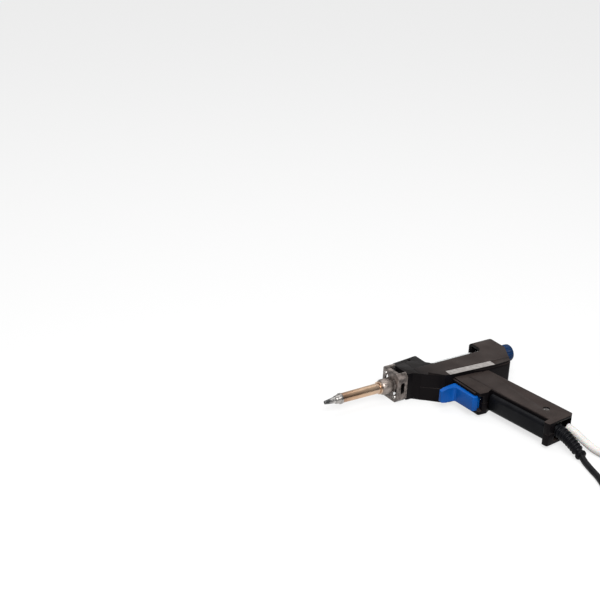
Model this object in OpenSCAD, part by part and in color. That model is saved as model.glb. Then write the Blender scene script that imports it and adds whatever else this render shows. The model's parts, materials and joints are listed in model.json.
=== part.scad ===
// Desoldering gun lying on its right side, with its vacuum hose and its cable.
// Inside gun() the barrel runs along X from the nozzle tip at x = 0 towards the back,
// +Y points to the gun's top and z = 0 is the plane where the two housing halves meet.

/* [Nozzle and barrel] */
// Bore of the nozzle at its tip
nozzle_bore_d = 1.0; // [0.6:0.1:1.6]
// Outer diameter of the flat face at the nozzle's tip
nozzle_tip_d = 3.2; // [2.6:0.1:3.6]
// Length of the nozzle's bare cone
nozzle_cone_len = 10.5; // [8:0.5:13]
// Diameter of the nozzle's body inside its nut
nozzle_body_d = 6; // [5:0.1:6.4]
// Length of the nut that holds the nozzle
nut_len = 6.5; // [6:0.5:10]
// Diameter of the nut's collar
nut_collar_d = 9.8; // [9.4:0.1:11]
// Width of the nut's collar
nut_collar_w = 2; // [1:0.5:3]
// Length of the bare barrel pipe
barrel_len = 40; // [32:1:50]
// Diameter of the barrel pipe at its front
barrel_front_d = 8.7; // [8.4:0.1:9]
// Diameter of the barrel pipe at its back
barrel_back_d = 9.4; // [9:0.1:9.8]
// Wall of the barrel pipe
barrel_wall = 0.5; // [0.3:0.1:0.6]
// Diameter of the rolled bead at the pipe's back
bead_d = 11.4; // [10.8:0.2:12]
// Width of the rolled bead
bead_w = 1.8; // [1.2:0.2:2.6]
// Diameter of the boss that carries the barrel
boss_d = 14.2; // [13.2:0.2:14.2]
// Length of the boss
boss_len = 11.5; // [9:0.5:14]
// Diameter of the ceramic heater
heater_d = 6.4; // [5:0.1:6.8]
// Diameter of the suction tube through the heater
suction_d = 2.6; // [2.2:0.1:3]
// Wall of the suction tube
suction_wall = 0.4; // [0.3:0.1:0.6]

/* [Front bracket] */
// Depth of the bracket from its front plate to the nose block
bracket_len = 10.5; // [9:0.5:13]
// Height of the bracket, along the gun's up direction
bracket_h = 23; // [22:0.5:24]
// Thickness of the bracket's sheet
bracket_t = 1.2; // [0.8:0.1:2]
// Bevel of the bracket's lower corners
bracket_bevel = 3.6; // [2:0.2:4]
// Bevel of the bracket's upper corners
bracket_top_bevel = 1.2; // [0.8:0.2:2]
// Inner diameter of the curved vents around the boss
vent_in_d = 14.8; // [14.6:0.1:15.4]
// Outer diameter of the curved vents around the boss
vent_out_d = 19.4; // [17.5:0.1:19.6]
// Angle that each curved vent spans
vent_angle = 120; // [60:5:130]
// Length of the slot in the bracket's underside
bracket_slot_len = 11; // [7:0.5:15]
// Width of the slot in the bracket's underside
bracket_slot_w = 4.4; // [3:0.2:5]
// Width of the side strips behind the bracket's front plate
bracket_web = 3.2; // [2:0.2:5]
// Height of the gaps in the bracket's sides
bracket_gap_h = 15; // [10:0.5:16]
// Diameter of the bracket screws' heads
bracket_screw_d = 3.6; // [3:0.2:4]

/* [Nose block] */
// Length of the full-width part of the nose block
nose_len = 11; // [9:0.5:13]
// Length of the saddle over the front end of the filter tube
saddle_len = 34.5; // [30:0.5:36]
// Width of the saddle
saddle_w = 22; // [21:0.5:24]
// Height of the saddle's front above the barrel axis
saddle_front_y = 16; // [12:0.5:17]
// Height of the saddle's peak above the barrel axis
saddle_peak_y = 19; // [17:0.5:21]
// Drop of the nose block's underside at its back, below the barrel axis
nose_drop = 16; // [15:0.5:18]

/* [Upper body] */
// Width of the upper body
body_w = 26; // [25:0.5:27]
// Distance from the nozzle tip to the back wall of the body
body_back_x = 194.5; // [191:0.5:206]
// Height of the back block's top above the barrel axis
block_top_y = 15.5; // [14.5:0.1:16.8]
// Length of the back block that covers the filter tube's end
block_len = 22.5; // [20:0.5:26]
// Depth of the body's underside below the barrel axis, at its back
tail_y = 36; // [35:0.5:40]
// Depth of the trough's side walls below the barrel axis
trough_wall_y = 3.5; // [2:0.5:6]
// Radius of the back block's long top edges
top_edge_r = 6; // [3:0.5:7]
// Radius of the body's long lower edges
low_edge_r = 3.5; // [2:0.5:5]
// Wall thickness of the hood over the filter tube's end
hood_wall = 2.8; // [2.4:0.1:3]
// Radius of the hollow between the trough's wall and the hood's front
hood_fillet_r = 6.5; // [3:0.5:8]
// Radius of the outer edges of the trough's walls
wall_edge_r = 1.4; // [0.8:0.2:2]
// Wall thickness of the housing
wall = 2.2; // [1.8:0.1:2.4]
// Width across the two raised side bands
band_w = 28; // [27.4:0.2:30]
// Height of the bare label strip
label_h = 7.4; // [5:0.2:7.6]
// Length of the bare label strip
label_len = 49; // [38:0.5:54]
// Thickness of the label strip
label_t = 0.4; // [0.3:0.1:0.6]
// Slope of the side bands against the barrel
band_slope = 4; // [2:0.5:5]

/* [Grip] */
// Lean of the grip away from square to the barrel
grip_lean = 7; // [4:0.5:12]
// Length of the grip below the upper body
grip_len = 100; // [95:0.5:108]
// Depth of the grip from its back to the strap's groove
grip_depth = 26.2; // [25:0.2:30]
// Width of the grip
grip_w = 21.6; // [20.6:0.2:22.6]
// Radius of the grip's long edges
grip_edge_r = 1.8; // [1:0.1:3]
// Radius of the corners at the grip's end
grip_end_r = 6; // [4:0.5:8]
// Thickness of the strap on the grip's front
strap_t = 5.6; // [4:0.1:6.4]
// Width of the strap on the grip's front
strap_w = 16.4; // [15:0.2:18]
// How far the lip at the grip's end stands in front of the strap
lip_out = 1.4; // [1:0.2:4]
// Length of the lip at the grip's end
lip_len = 6.5; // [5:0.5:9]

/* [Trigger and switch] */
// Width of the trigger
trigger_w = 13.5; // [12:0.5:15.4]
// Length of the trigger's finger bar
trigger_bar_len = 28; // [26:0.5:29]
// How far the finger bar stands in front of the housing
trigger_out = 5; // [4:0.5:6]
// Length of the lip above the finger
trigger_lip_len = 21; // [16:0.5:23]
// Thickness of the lip above the finger
trigger_lip_t = 4; // [3:0.5:5]
// Diameter of the trigger's pivot pin
pivot_pin_d = 3; // [2:0.2:3.4]
// Turn of the trigger when it is pulled, in degrees
trigger_turn = 7; // [4:0.5:7]
// Length of the switch's case
switch_len = 20; // [18:0.5:21]
// Depth of the switch's case
switch_depth = 10; // [9:0.5:11]
// Thickness of the switch's case
switch_t = 6.4; // [5:0.2:8]

/* [Filter tube and knob] */
// Outer diameter of the glass filter tube
tube_d = 19; // [18:0.2:19.4]
// Wall of the glass filter tube
tube_wall = 1.5; // [1:0.1:2]
// Diameter of the release knob
knob_d = 16.6; // [14:0.2:18]
// Length of the release knob
knob_len = 14; // [10:0.5:18]
// Travel of the release knob
knob_travel = 6; // [4:0.5:6]
// Diameter of the knob's shaft
knob_shaft_d = 6; // [5:0.2:7]

/* [Cable and hose] */
// Diameter of the cable
cable_d = 5.6; // [5:0.1:6.4]
// Diameter of the vacuum hose
hose_d = 7; // [6:0.1:7.4]
// Diameter of the plug's coupling ring
plug_ring_d = 14.6; // [14:0.2:16]
// Length of the plug's metal body
plug_body_len = 20; // [16:0.5:26]
// Width across the flats of the hose fitting's nut
fitting_d = 12; // [11:0.5:14]

/* [Hidden] */

$fn = 48;
// Clearance of a turning or sliding fit, on the radius
run_fit = 0.06;
// Gap between a loose piece and its seat
seat_gap = 0.3;
// Overshoot of a cut past the face it opens
over = 1;
// Number of straight pieces in a filleted corner of an outline
fillet_steps = 6;

// Stations along the barrel, from the nozzle tip
nut_x = nozzle_cone_len;
barrel_x = nut_x + nut_len;
bead_x = barrel_x + barrel_len;
boss_x = bead_x + bead_w;
bracket_x = boss_x + boss_len;
nose_x = bracket_x + bracket_len;
body_x = nose_x + nose_len;
seal_x = nose_x + saddle_len - 12.5;
seal_flange_t = 4.5;
seal_plug_len = 4;
tube_x = seal_x + seal_flange_t;
block_x = body_back_x - block_len;
back_wall_t = 3;
rear_seal_flange_t = 2.5;
carrier_t = 3;
tube_end_x = body_back_x - 23;
carrier_x = tube_end_x + rear_seal_flange_t;
knob_gap = 1;
knob_x = body_back_x + knob_gap;
knob_end_x = knob_x + knob_len;

tube_r = tube_d / 2;
tube_in_r = tube_r - tube_wall;
cradle_r = tube_r + seat_gap;
tunnel_r = cradle_r + 0.4;
carrier_r = tube_r - 0.2;
body_half = body_w / 2;
band_half = band_w / 2;
grip_half = grip_w / 2;
mid_z = band_half;
// Half of the hollow inside the body, a little less than the grip's half width
hollow_half = min(body_half - wall, grip_half) - 0.3;

// Underside of the upper body
belly_x = body_x + 15;
belly_y = -nose_drop - 12;
tail_back = 15.5;
tail_x = body_back_x - tail_back;
tail_slope_y = -9;
outline_r = 3;

// The grip's own frame starts on its back line, level with the body's underside
grip_x = tail_x - 24.8;
grip_y = -tail_y + 1.3;
bulkhead_t = 4;
end_recess = 12;
bulkhead_s = grip_len - end_recess - bulkhead_t;
relief_u = -18.4;
nipple_u = -7.3;
nipple_s = bulkhead_s - 6;
screw_u = -13.3;
screw_s = bulkhead_s - 4.5;

// Side bands and the label on the left one
band_top_y = -22.2;
band_low_y = -31.4;
band_run = 47;
band_back_y = band_top_y - (tail_x - body_x - 17.4) * tan(band_slope);
label_top_y = -23.4;

// Trigger opening in the body's front edge
cheek_back = 37.2;
cheek_x = grip_x - cheek_back;
cheek_top_y = -31;
cheek_low_y = cheek_top_y - 36.5;
trigger_room = 15;
switch_room = 22;
label_x = cheek_x - 3.8;
// How much lower the cheeks lie than the grip's sides
cheek_step = 0.15;
slot_half = trigger_w / 2 + 0.5;
rail_w = 2.2;
rail_out = 1.7;
pivot_x = cheek_x + 3.2;
pivot_y = cheek_top_y - 6.5;
trigger_low_y = pivot_y - trigger_bar_len;
nose_wall_x = cheek_x + 4.2;
nose_wall_t = 3.4;
bar_back_x = cheek_x + 5.2;

// Switch behind the trigger
switch_x = cheek_x + 9.8;
switch_top_y = pivot_y - 6;
lever_t = 0.6;
lever_w = 4;
lever_pivot_y = switch_top_y - 1.6;
lever_reach = 11;
lever_pin_r = 0.5;
trigger_spring_y = pivot_y - 22;

// Terminal board under the trough
board_x = body_x + 15.5;
board_y = -23.6;
board_z = 6.8;

// Origin of the part: the middle of the gun's box, on the table
lip_r = 2;
gun_top_y = max(saddle_peak_y, block_top_y);
lip_low_y = grip_y + (lip_r - grip_depth - strap_t - lip_out) * sin(grip_lean)
    - (grip_len - lip_r) * cos(grip_lean) - lip_r;
origin_x = knob_end_x / 2;
origin_y = (gun_top_y + lip_low_y) / 2;

// Places everything of the gun in the part's frame
module gun() translate([-origin_x, -origin_y, mid_z]) children();

// The grip's frame: X towards its back, -Y down its length
module grip_frame() translate([grip_x, grip_y, 0]) rotate([0, 0, grip_lean]) children();

// A round bar or cone along X
module rod_x(from, to, r, r_end) {
    translate([from, 0, 0]) rotate([0, 90, 0])
        cylinder(h = to - from, r1 = r, r2 = is_undef(r_end) ? r : r_end);
}

// A round bar down the grip, from one distance along it to another
module rod_s(from, to, r) {
    translate([0, -from, 0]) rotate([90, 0, 0]) cylinder(h = to - from, r = r);
}

// Unit vector of a 2D or 3D vector
function unit(v) = v / norm(v);

// The arc that rounds corner b between a and c by radius r
function corner(a, b, c, r) =
    let (p = unit(a - b), q = unit(c - b), half = acos(p * q) / 2,
        reach = r / tan(half), mid = b + unit(p + q) * r / sin(half),
        start = b + p * reach - mid, stop = b + q * reach - mid,
        turn = atan2(start[0] * stop[1] - start[1] * stop[0], start * stop))
    [for (i = [0:fillet_steps]) let (t = turn * i / fillet_steps)
        mid + [start[0] * cos(t) - start[1] * sin(t), start[0] * sin(t) + start[1] * cos(t)]];

// A closed outline with filleted corners, from points of x, y and radius
function outline(pts) =
    [for (i = [0:len(pts) - 1])
        let (n = len(pts), b = pts[i], a = pts[(i + n - 1) % n], c = pts[(i + 1) % n])
        each b[2] > 0 ? corner([a[0], a[1]], [b[0], b[1]], [c[0], c[1]], b[2]) : [[b[0], b[1]]]];

// A plate of an outline, as thick on both sides of the parting plane
module plate(pts, half) translate([0, 0, -half]) linear_extrude(2 * half) polygon(outline(pts));

// A rectangle with filleted corners, from its low and high corner
function round_box(low, high, r) =
    [[low[0], low[1], r], [high[0], low[1], r], [high[0], high[1], r], [low[0], high[1], r]];

// A ring of points around p, square to direction d
function ring(p, d, r, sides) =
    let (w = unit(d), u = unit(abs(w[2]) < 0.9 ? cross(w, [0, 0, 1]) : cross(w, [1, 0, 0])),
        v = cross(w, u))
    [for (i = [0:sides - 1]) p + r * (cos(360 * i / sides) * u + sin(360 * i / sides) * v)];

// One smooth point of a curve through four points
function smooth(a, b, c, d, t) =
    0.5 * (2 * b + (c - a) * t + (2 * a - 5 * b + 4 * c - d) * t * t
        + (3 * b - a - 3 * c + d) * t * t * t);

// A smooth route through the points of a list, with steps pieces between neighbours
function route(pts, steps) =
    let (n = len(pts))
    [for (i = [0:n - 2], k = [0:steps - 1])
        smooth(pts[max(i - 1, 0)], pts[i], pts[i + 1], pts[min(i + 2, n - 1)], k / steps),
        pts[n - 1]];

// A round solid swept along a route, with one radius or one for each point
module sweep(pts, radius, sides = 8) {
    n = len(pts);
    dirs = [for (i = [0:n - 1]) pts[min(i + 1, n - 1)] - pts[max(i - 1, 0)]];
    rings = [for (i = [0:n - 1])
        each ring(pts[i], dirs[i], is_list(radius) ? radius[i] : radius, sides)];
    sides_faces = [for (i = [0:n - 2], k = [0:sides - 1])
        let (a = i * sides + k, b = i * sides + (k + 1) % sides)
        each [[a, b + sides, b], [a, a + sides, b + sides]]];
    first = [for (k = [0:sides - 1]) k];
    last = [for (k = [sides - 1:-1:0]) (n - 1) * sides + k];
    polyhedron(rings, concat([first], sides_faces, [last]), convexity = 6);
}

// A coil spring along X
module spring_x(from, to, r, wire, turns, steps = 10) {
    n = turns * steps;
    sweep([for (i = [0:n]) let (a = 360 * i / steps)
        [from + wire + (to - from - 2 * wire) * i / n, r * cos(a), r * sin(a)]], wire, 6);
}

// Nozzle and barrel
module nozzle() {
    body_r = nozzle_body_d / 2;
    color("dimgray") gun() difference() {
        union() {
            rod_x(0, nut_x, nozzle_tip_d / 2, body_r);
            rod_x(nut_x, barrel_x + 6, body_r);
        }
        rod_x(-over, nut_x, nozzle_bore_d / 2);
        rod_x(nut_x - 0.01, barrel_x + 6 + over, suction_d / 2);
    }
}

module nozzle_nut() {
    color("silver") gun() difference() {
        union() {
            rod_x(nut_x, barrel_x - nut_collar_w, nozzle_body_d / 2 + 0.5, nut_collar_d / 2 - 0.5);
            rod_x(barrel_x - nut_collar_w, barrel_x, nut_collar_d / 2);
        }
        rod_x(nut_x - over, barrel_x + over, nozzle_body_d / 2 + run_fit);
    }
}

module barrel_pipe() {
    front_r = barrel_front_d / 2;
    back_r = barrel_back_d / 2;
    color("burlywood") gun() difference() {
        union() {
            rod_x(barrel_x, bead_x, front_r, back_r);
            rod_x(bead_x, boss_x, bead_d / 2);
        }
        rod_x(barrel_x - 0.01, boss_x + over, front_r - barrel_wall);
    }
}

module heater_core() {
    color("ivory") gun() difference() {
        union() {
            rod_x(barrel_x + 6 + seat_gap, boss_x + 4, heater_d / 2);
            rod_x(bead_x - 3, bead_x, barrel_front_d / 2 - barrel_wall - 0.05);
        }
        rod_x(barrel_x, boss_x + 4 + over, suction_d / 2 + run_fit);
    }
}

module suction_tube() {
    color("lightgray") gun() difference() {
        rod_x(barrel_x + 6 + seat_gap, tube_x + seal_plug_len + 2, suction_d / 2);
        rod_x(barrel_x, tube_x + seal_plug_len + 2 + over, suction_d / 2 - suction_wall);
    }
}

module barrel_boss() {
    color("darkgray") gun() difference() {
        union() {
            rod_x(boss_x, boss_x + 2, bead_d / 2 + 0.4, boss_d / 2);
            rod_x(boss_x + 2, bracket_x, boss_d / 2);
            rod_x(bracket_x, bracket_x + bracket_t + 1.5, boss_d / 2 - 1.5);
        }
        rod_x(boss_x - over, bracket_x + bracket_t + 1.5 + over, heater_d / 2 + 1);
    }
}

// Front bracket, a folded sheet box that is open at its back
module bracket_section(grow) {
    h = bracket_h / 2 + grow;
    w = band_half + grow;
    b = bracket_bevel;
    c = bracket_top_bevel;
    rotate([90, 0, 90]) linear_extrude(bracket_len)
        polygon([[-h, b - w], [b - h, -w], [h - c, -w], [h, c - w],
            [h, w - c], [h - c, w], [b - h, w], [-h, w - b]]);
}

module curved_vent(mid_angle) {
    rotate([0, 90, 0]) rotate([0, 0, mid_angle - vent_angle / 2])
        rotate_extrude(angle = vent_angle) translate([vent_in_d / 2, -over])
            square([(vent_out_d - vent_in_d) / 2, bracket_t + 2 * over]);
}

// The screws go in from the front, at two opposite corners
screw_y = bracket_h / 2 - 4.1;
screw_z = band_half - 5.1;

module bracket_screw_places() {
    for (s = [-1, 1]) translate([bracket_x, s * screw_y, s * screw_z]) rotate([0, -90, 0]) children();
}

module front_bracket() {
    slot_x = bracket_x + bracket_len / 2 + 0.4;
    color("rosybrown") gun() difference() {
        translate([bracket_x, 0, 0]) bracket_section(0);
        translate([bracket_x + bracket_t, 0, 0]) bracket_section(-bracket_t);
        rod_x(bracket_x - over, bracket_x + 2 * bracket_t, boss_d / 2 - 1.5 + run_fit);
        for (a = [90, -90]) translate([bracket_x, 0, 0]) curved_vent(a);
        // Slots through the underside and the top, with round ends
        for (z = [-1, 1] * (bracket_slot_len - bracket_slot_w) / 2)
            translate([slot_x, 0, z]) rotate([90, 0, 0])
                cylinder(h = bracket_h + 2 * over, d = bracket_slot_w, center = true);
        cube_mid(slot_x, bracket_slot_w, bracket_h + 2 * over, bracket_slot_len - bracket_slot_w);
        // Both sides are cut away towards the nose block
        plate([[bracket_x + bracket_web, -bracket_gap_h / 2, 1.5], [nose_x + over, -bracket_gap_h / 2, 0],
            [nose_x + over, bracket_gap_h / 2, 0], [bracket_x + bracket_web, bracket_gap_h / 2, 1.5]],
            band_half + over);
        bracket_screw_places() cylinder(h = 3 * bracket_t, d = 2, center = true);
    }
}

// A box centred on the barrel axis, at x, with its size along X, Y and Z
module cube_mid(x, dx, dy, dz) translate([x - dx / 2, -dy / 2, -dz / 2]) cube([dx, dy, dz]);

module bracket_screws() {
    color("gainsboro") gun() bracket_screw_places() difference() {
        union() {
            cylinder(h = 1, d1 = bracket_screw_d, d2 = bracket_screw_d - 0.8);
            translate([0, 0, -6]) cylinder(h = 6, d = 1.9);
        }
        for (a = [0, 90]) rotate([0, 0, a]) translate([-1.1, -0.25, 0.5]) cube([2.2, 0.5, over]);
    }
}

// Nose block: carries the bracket and closes the front of the trough
function nose_outline() = [
    [nose_x, 0.6 - bracket_h / 2, 1], [nose_x + 6, 0.4 - bracket_h / 2, 2.5],
    [body_x, -nose_drop, 0], [body_x, 9, 0], [nose_x, 9, 1]];

function saddle_outline() = [
    [nose_x + 0.5, -trough_wall_y, 0], [nose_x + saddle_len, -trough_wall_y, 0],
    [nose_x + saddle_len, 1.2, 0.4], [nose_x + saddle_len - 3.2, 4.4, 4],
    [nose_x + saddle_len - 3.2, saddle_peak_y, 1.5],
    [nose_x + 3, saddle_front_y, 1.5], [nose_x + 0.5, 9, 1]];

module nose_block() {
    end_x = nose_x + saddle_len;
    color("black") gun() difference() {
        union() {
            plate(nose_outline(), body_half);
            plate(saddle_outline(), saddle_w / 2);
            rod_x(body_x, seal_x, cradle_r - 0.1);
            // Ears that the bracket screws grip
            for (s = [-1, 1]) translate([bracket_x + bracket_t, s * screw_y - 1.5, s * screw_z - 1.5])
                cube([nose_x - bracket_x, 3, 3]);
        }
        rod_x(nose_x - over, seal_x + over, 5);
        rod_x(seal_x, end_x + over, cradle_r);
        // Cross hole near the saddle's top
        translate([nose_x + saddle_len / 2 + 3, saddle_front_y - 1.8, 0])
            cylinder(h = saddle_w + 2 * over, d = 2.6, center = true);
        // Way down for the heater's leads
        translate([body_x + 1, -cradle_r - over, -4]) cube([4.5, cradle_r + over, 8]);
        // Screw holes in the ears
        bracket_screw_places() translate([0, 0, -7]) cylinder(h = 8, d = 2);
    }
}

// Filter tube and what it holds
module front_seal() {
    color("dimgray") gun() difference() {
        union() {
            rod_x(seal_x, tube_x, tube_r);
            rod_x(tube_x, tube_x + seal_plug_len, tube_in_r - 0.05);
        }
        rod_x(seal_x - over, tube_x + seal_plug_len + over, suction_d / 2 + 0.02);
    }
}

module filter_tube() {
    color("lightcyan", 0.4) gun() difference() {
        rod_x(tube_x, tube_end_x, tube_r);
        rod_x(tube_x - over, tube_end_x + over, tube_in_r);
    }
}

module pre_filter() {
    x = tube_x + seal_plug_len + 2.4;
    color("lightgray") gun() difference() {
        rod_x(x, x + 2, tube_in_r - 0.1);
        for (a = [0:45:315]) rotate([a, 0, 0]) translate([0, tube_in_r / 2, 0])
            rod_x(x - over, x + 2 + over, 1);
    }
}

module spring_filter() {
    x = tube_x + seal_plug_len + 4.6;
    color("silver") gun() spring_x(x, x + 20, tube_in_r - 0.9, 0.5, 7);
}

module ceramic_filter() {
    x = tube_end_x - seal_plug_len - 0.3;
    color("white") gun() rod_x(x - 14, x, tube_in_r - 0.1);
}

module rear_seal() {
    color("dimgray") gun() difference() {
        union() {
            rod_x(tube_end_x, carrier_x, carrier_r);
            rod_x(tube_end_x - seal_plug_len, tube_end_x, tube_in_r - 0.05);
        }
        rod_x(tube_end_x - seal_plug_len - over, carrier_x + over, 2);
    }
}

module seal_carrier() {
    color("silver") gun() difference() {
        union() {
            rod_x(carrier_x, carrier_x + carrier_t, carrier_r);
            rod_x(carrier_x, nipple_x + 2.6, 4.4);
            rod_x(carrier_x, knob_x + knob_len - 4, knob_shaft_d / 2);
            translate([nipple_x, 0, 0]) rotate([90, 0, 0]) cylinder(h = 15, r = 2);
            for (y = [10.4, 12.4]) translate([nipple_x, -y, 0]) rotate([90, 0, 0])
                cylinder(h = 1.4, r1 = 2.5, r2 = 2);
        }
        rod_x(carrier_x - over, nipple_x, 1.4);
        translate([nipple_x, 0, 0]) rotate([90, 0, 0]) cylinder(h = 15 + over, r = 1.2);
    }
}

module knob_spring() {
    color("lightgray") gun() spring_x(carrier_x + carrier_t + 4.4, body_back_x - back_wall_t,
        knob_shaft_d / 2 + 1.4, 0.4, 5);
}

module release_knob() {
    r = knob_d / 2;
    color("midnightblue") gun() difference() {
        translate([knob_x, 0, 0]) rotate([0, 90, 0]) rotate_extrude() polygon(concat(
            [[0, 0], [r - 1.6, 0], [r - 1.2, 0.4], [r - 1.2, knob_len * 0.3], [r, knob_len * 0.3 + 0.8]],
            [for (a = [0:15:90]) [r - 2.2 + 2.2 * cos(a), knob_len - 2.2 + 2.2 * sin(a)]],
            [[0, knob_len]]));
        rod_x(knob_x - over, knob_x + knob_len - 4 + seat_gap, knob_shaft_d / 2 + 0.01);
        // Flutes around the rim
        for (a = [0:30:330]) rotate([a, 0, 0]) translate([0, r + 0.5, 0])
            rod_x(knob_x + knob_len * 0.3, knob_end_x + over, 1);
    }
}

// Housing halves
function body_outline() = [
    [body_x, -nose_drop, 0], [belly_x, belly_y, 4], [cheek_x + 4, belly_y - 3, 0],
    [grip_x + 2, -tail_y, 0], [tail_x, -tail_y, outline_r + 2], [body_back_x, tail_slope_y, 4],
    [body_back_x, block_top_y, outline_r], [block_x, block_top_y, 1],
    [block_x, -trough_wall_y, hood_fillet_r], [body_x, -trough_wall_y, 0]];

// A low ramp carries the saddle's curve on to the trough's walls
function ramp_outline() = let (x = nose_x + saddle_len + seat_gap) [
    [x, -trough_wall_y - 1, 0], [x, 0.8, 0.4], [x + 3, -2.3, 4], [x + 8, -trough_wall_y - 0.3, 0],
    [x + 8, -trough_wall_y - 1, 0]];

// How far back the side band reaches at height y, just short of the body's slanted end
function band_end(y) = tail_x - 0.6 + (y + tail_y) * tail_back / (tail_y + tail_slope_y);

function band_outline() = [
    [body_x + 3.5, -nose_drop - 0.5, 1], [body_x + 22, band_top_y, 3],
    [band_end(band_back_y), band_back_y, 1], [band_end(2 - tail_y) - 0.4, 2 - tail_y, 1.5],
    [body_x + 22 + band_run, band_low_y - band_run * tan(band_slope), 3],
    [body_x + 22, band_low_y, 3], [body_x + 16.5, band_low_y + 1.8, 2]];

function grip_outline() = [
    [-grip_depth, 0, 0], [0, 0, 0], [0, -grip_len, grip_end_r], [-grip_depth, -grip_len, 1.5]];

function lip_outline() = [
    [-grip_depth - strap_t - lip_out, lip_len - grip_len, 1.5],
    [lip_r - grip_depth, lip_len - grip_len, 0], [lip_r - grip_depth, -grip_len, 0],
    [-grip_depth - strap_t - lip_out, -grip_len, lip_r]];

function cheek_outline() = [
    [cheek_x, cheek_top_y + 2, 0], [grip_x - 8, cheek_top_y + 2, 0], [grip_x - 8, cheek_low_y + 3.6, 0],
    [cheek_x + 14.5, cheek_low_y + 2.5, 3], [cheek_x + 9, cheek_low_y - 0.5, 2],
    [cheek_x, cheek_low_y, 2]];

function rail_outline() =
    round_box([cheek_x - rail_out, cheek_low_y + 5], [cheek_x + 3, cheek_top_y + 2], 0.5);

module body_section() {
    rotate([90, 0, 90]) linear_extrude(body_back_x + 10) polygon(outline([
        [-tail_y, -body_half, low_edge_r], [block_top_y, -body_half, top_edge_r],
        [block_top_y, body_half, top_edge_r], [-tail_y, body_half, low_edge_r]]));
}

// What rounding takes off the trough's outer edges and the hood's front edge
module edge_waste() {
    r = wall_edge_r;
    turn_x = block_x - hood_fillet_r;
    turn_y = hood_fillet_r - trough_wall_y;
    hood_h = block_top_y + over - turn_y;
    for (s = [0, 1]) mirror([0, 0, s]) translate([0, 0, body_half - r]) difference() {
        union() {
            translate([body_x - over, -trough_wall_y - r, 0])
                cube([turn_x - body_x + over, r + over, r + over]);
            translate([turn_x, turn_y, 0]) rotate([0, 0, -90]) rotate_extrude(angle = 90)
                translate([hood_fillet_r - over, 0]) square(r + over);
            translate([block_x - over, turn_y, 0]) cube([r + over, hood_h, r + over]);
        }
        translate([0, -trough_wall_y - r, 0]) rod_x(body_x - 2 * over, turn_x, r);
        translate([turn_x, turn_y, 0]) rotate([0, 0, -90]) rotate_extrude(angle = 90)
            translate([hood_fillet_r + r, 0]) circle(r);
        translate([block_x + r, turn_y, 0]) rotate([-90, 0, 0]) cylinder(h = hood_h + over, r = r);
    }
}

module shell_outer() {
    difference() {
        intersection() {
            plate(body_outline(), body_half + 5);
            body_section();
        }
        edge_waste();
    }
    plate(ramp_outline(), saddle_w / 2 - 0.1);
    // Rails beside the trigger
    plate(rail_outline(), slot_half + rail_w);
    plate(band_outline(), band_half);
    plate(cheek_outline(), grip_half - cheek_step);
    grip_frame() intersection() {
        plate(grip_outline(), grip_half + 5);
        rotate([90, 0, 0]) linear_extrude(2 * grip_len) polygon(outline(
            round_box([-grip_depth, -grip_half], [0, grip_half], grip_edge_r)));
    }
    grip_frame() plate(lip_outline(), grip_half);
}

// The hood is open at its front
module hood_space() {
    half = body_half - hood_wall;
    r = top_edge_r - hood_wall;
    translate([block_x - over, 0, 0]) rotate([90, 0, 90])
        linear_extrude(block_len + over - back_wall_t) polygon(outline([
            [0, -half, 0], [block_top_y - hood_wall, -half, r],
            [block_top_y - hood_wall, half, r], [0, half, 0]]));
}

module inner_space() {
    // Trough and tunnel of the filter tube, and the hole for the knob's shaft
    rod_x(body_x - over, tube_end_x + 1, cradle_r);
    translate([block_x - 60, 0, -cradle_r]) cube([60, 30, 2 * cradle_r]);
    rod_x(tube_end_x, body_back_x - back_wall_t, tunnel_r);
    hood_space();
    rod_x(block_x, body_back_x + over, knob_shaft_d / 2 + run_fit);
    // Slot that the carrier's nipple slides in
    translate([carrier_x + carrier_t - 1.5, -20, -3]) cube([knob_travel + 6.5, 14, 6]);
    // Space under the trough
    plate([[body_x + 5, -12.6, 0], [body_back_x - 8, -12.6, 1], [body_back_x - 12, -24, 2],
        [tail_x - 2, wall - tail_y + 0.6, 2], [grip_x - 2, wall - tail_y + 0.6, 0],
        [cheek_x + 4, belly_y + 0.4, 0], [belly_x + 1, belly_y + wall + 0.6, 0],
        [body_x + 5, -nose_drop - 0.4, 0]], hollow_half);
    translate([body_x - over, -15, -5]) cube([7, 8, 10]);
    // Hollow of the grip
    grip_frame() plate([[wall - grip_depth, 8, 0], [-wall, 8, 0], [-wall, -bulkhead_s, 1],
        [wall - grip_depth, -bulkhead_s, 1]], grip_half - wall);
    // Trigger opening and the switch's place
    translate([cheek_x - trigger_room, cheek_low_y + nose_wall_t, -slot_half])
        cube([trigger_room + switch_room, cheek_top_y - cheek_low_y - nose_wall_t - 1, 2 * slot_half]);
    translate([cheek_x - trigger_room, cheek_low_y - 5, -slot_half])
        cube([trigger_room + nose_wall_x - cheek_x, 20, 2 * slot_half]);
    // Recess in the grip's end, and the holes through its bulkhead
    grip_frame() {
        plate([[-24.8, -bulkhead_s - bulkhead_t, 1], [-3, -bulkhead_s - bulkhead_t, 1],
            [-3, -grip_len - over, 0], [-24.8, -grip_len - over, 0]], grip_half - wall - 0.4);
        translate([relief_u, 0, 0]) rod_s(bulkhead_s - over, grip_len, 3.85);
        translate([nipple_u, 0, 0]) rod_s(bulkhead_s - over, grip_len, 2.53);
    }
}

module grip_screw_place() grip_frame() translate([screw_u, -screw_s, 0]) children();

// Two more screws sit under the label
module body_screw_places() {
    for (along = [10, 40]) translate([label_x, label_top_y, 0]) rotate([0, 0, -band_slope])
        translate([along, -label_h / 2, 0]) children();
}

module screw_places() {
    grip_screw_place() children();
    body_screw_places() children();
}

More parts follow.
